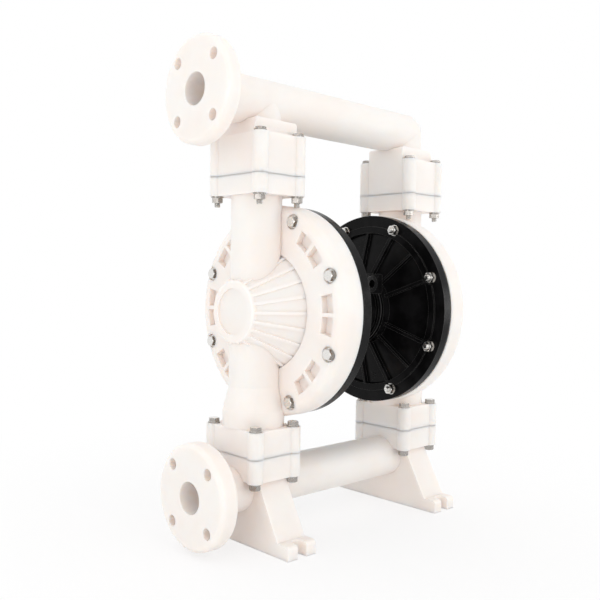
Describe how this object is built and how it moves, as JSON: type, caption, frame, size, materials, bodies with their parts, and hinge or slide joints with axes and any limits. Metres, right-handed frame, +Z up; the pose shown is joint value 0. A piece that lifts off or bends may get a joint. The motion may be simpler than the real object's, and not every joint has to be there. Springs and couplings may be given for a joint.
{
  "type": "air operated diaphragm pump",
  "caption": "Air operated double diaphragm pump with dished fluid covers, flanged manifolds, slotted feet, ball valves and an air valve on the centre block.",
  "frame": {"origin": "on the floor, midway between the two feet", "axes": "+X along the pump axis away from the inlet and outlet flanges, -Y towards the air inlet, +Z up"},
  "size_m": [0.5425, 0.373, 0.787],
  "materials": {
    "moulded_white": "natural polypropylene, slightly translucent",
    "black_paint": "gloss",
    "stainless": "bright",
    "black_rubber": "matt",
    "white_ptfe": "smooth",
    "bearing_bronze": "satin",
    "grey_aluminium": "turned",
    "muffler_grey": "matt"
  },
  "bodies": {
    "casing": {"upper_manifold": "moulded_white", "lower_manifold": "moulded_white", "left_fluid_cover": "moulded_white", "right_fluid_cover": "moulded_white", "left_air_chamber": "black_paint", "right_air_chamber": "black_paint", "chamber_gaskets": "black_rubber", "centre_block": "black_paint", "rod_bushings": "bearing_bronze", "rod_seals": "black_rubber", "pilot_bushes": "bearing_bronze", "centre_bolts": "stainless", "suction_seats": "moulded_white", "discharge_seats": "moulded_white", "seat_gaskets": "white_ptfe", "valve_gasket": "black_rubber", "air_valve_body": "black_paint", "valve_end_caps": "black_paint", "valve_cap_screws": "stainless", "valve_bolts": "stainless", "exhaust_muffler": "muffler_grey", "cover_bolts": "stainless", "cover_nuts": "stainless", "cover_washers": "stainless", "upper_joint_bolts": "stainless", "lower_joint_bolts": "stainless", "joint_nuts": "stainless", "joint_washers": "stainless"},
    "rod_set": {"diaphragm_rod": "stainless", "left_inner_plate": "grey_aluminium", "right_inner_plate": "grey_aluminium", "left_diaphragm": "black_rubber", "right_diaphragm": "black_rubber", "left_outer_plate": "moulded_white", "right_outer_plate": "moulded_white"},
    "pilot": {"pilot_pin": "stainless"},
    "spool": {"valve_spool": "grey_aluminium", "spool_seals": "black_rubber"},
    "left_suction_ball": {"left_suction_ball": "white_ptfe"},
    "right_suction_ball": {"right_suction_ball": "white_ptfe"},
    "left_discharge_ball": {"left_discharge_ball": "white_ptfe"},
    "right_discharge_ball": {"right_discharge_ball": "white_ptfe"}
  },
  "joints": [
    {"name": "rod_slide", "type": "slide", "parent": "casing", "child": "rod_set", "axis": [1, 0, 0], "range_m": [-0.015, 0.015], "deforming": ["left_diaphragm", "right_diaphragm"]},
    {"name": "pilot_slide", "type": "slide", "parent": "casing", "child": "pilot", "axis": [1, 0, 0], "range_m": [-0.004, 0.004]},
    {"name": "spool_slide", "type": "slide", "parent": "casing", "child": "spool", "axis": [1, 0, 0], "range_m": [-0.008, 0.008]},
    {"name": "left_suction_ball_lift", "type": "slide", "parent": "casing", "child": "left_suction_ball", "axis": [0, 0, 1], "range_m": [0, 0.014]},
    {"name": "right_suction_ball_lift", "type": "slide", "parent": "casing", "child": "right_suction_ball", "axis": [0, 0, 1], "range_m": [0, 0.014]},
    {"name": "left_discharge_ball_lift", "type": "slide", "parent": "casing", "child": "left_discharge_ball", "axis": [0, 0, 1], "range_m": [0, 0.014]},
    {"name": "right_discharge_ball_lift", "type": "slide", "parent": "casing", "child": "right_discharge_ball", "axis": [0, 0, 1], "range_m": [0, 0.014]}
  ],
  "couplings": [
    {"joint": "pilot_slide", "follows": "rod_slide", "ratio": 0.26667}
  ]
}
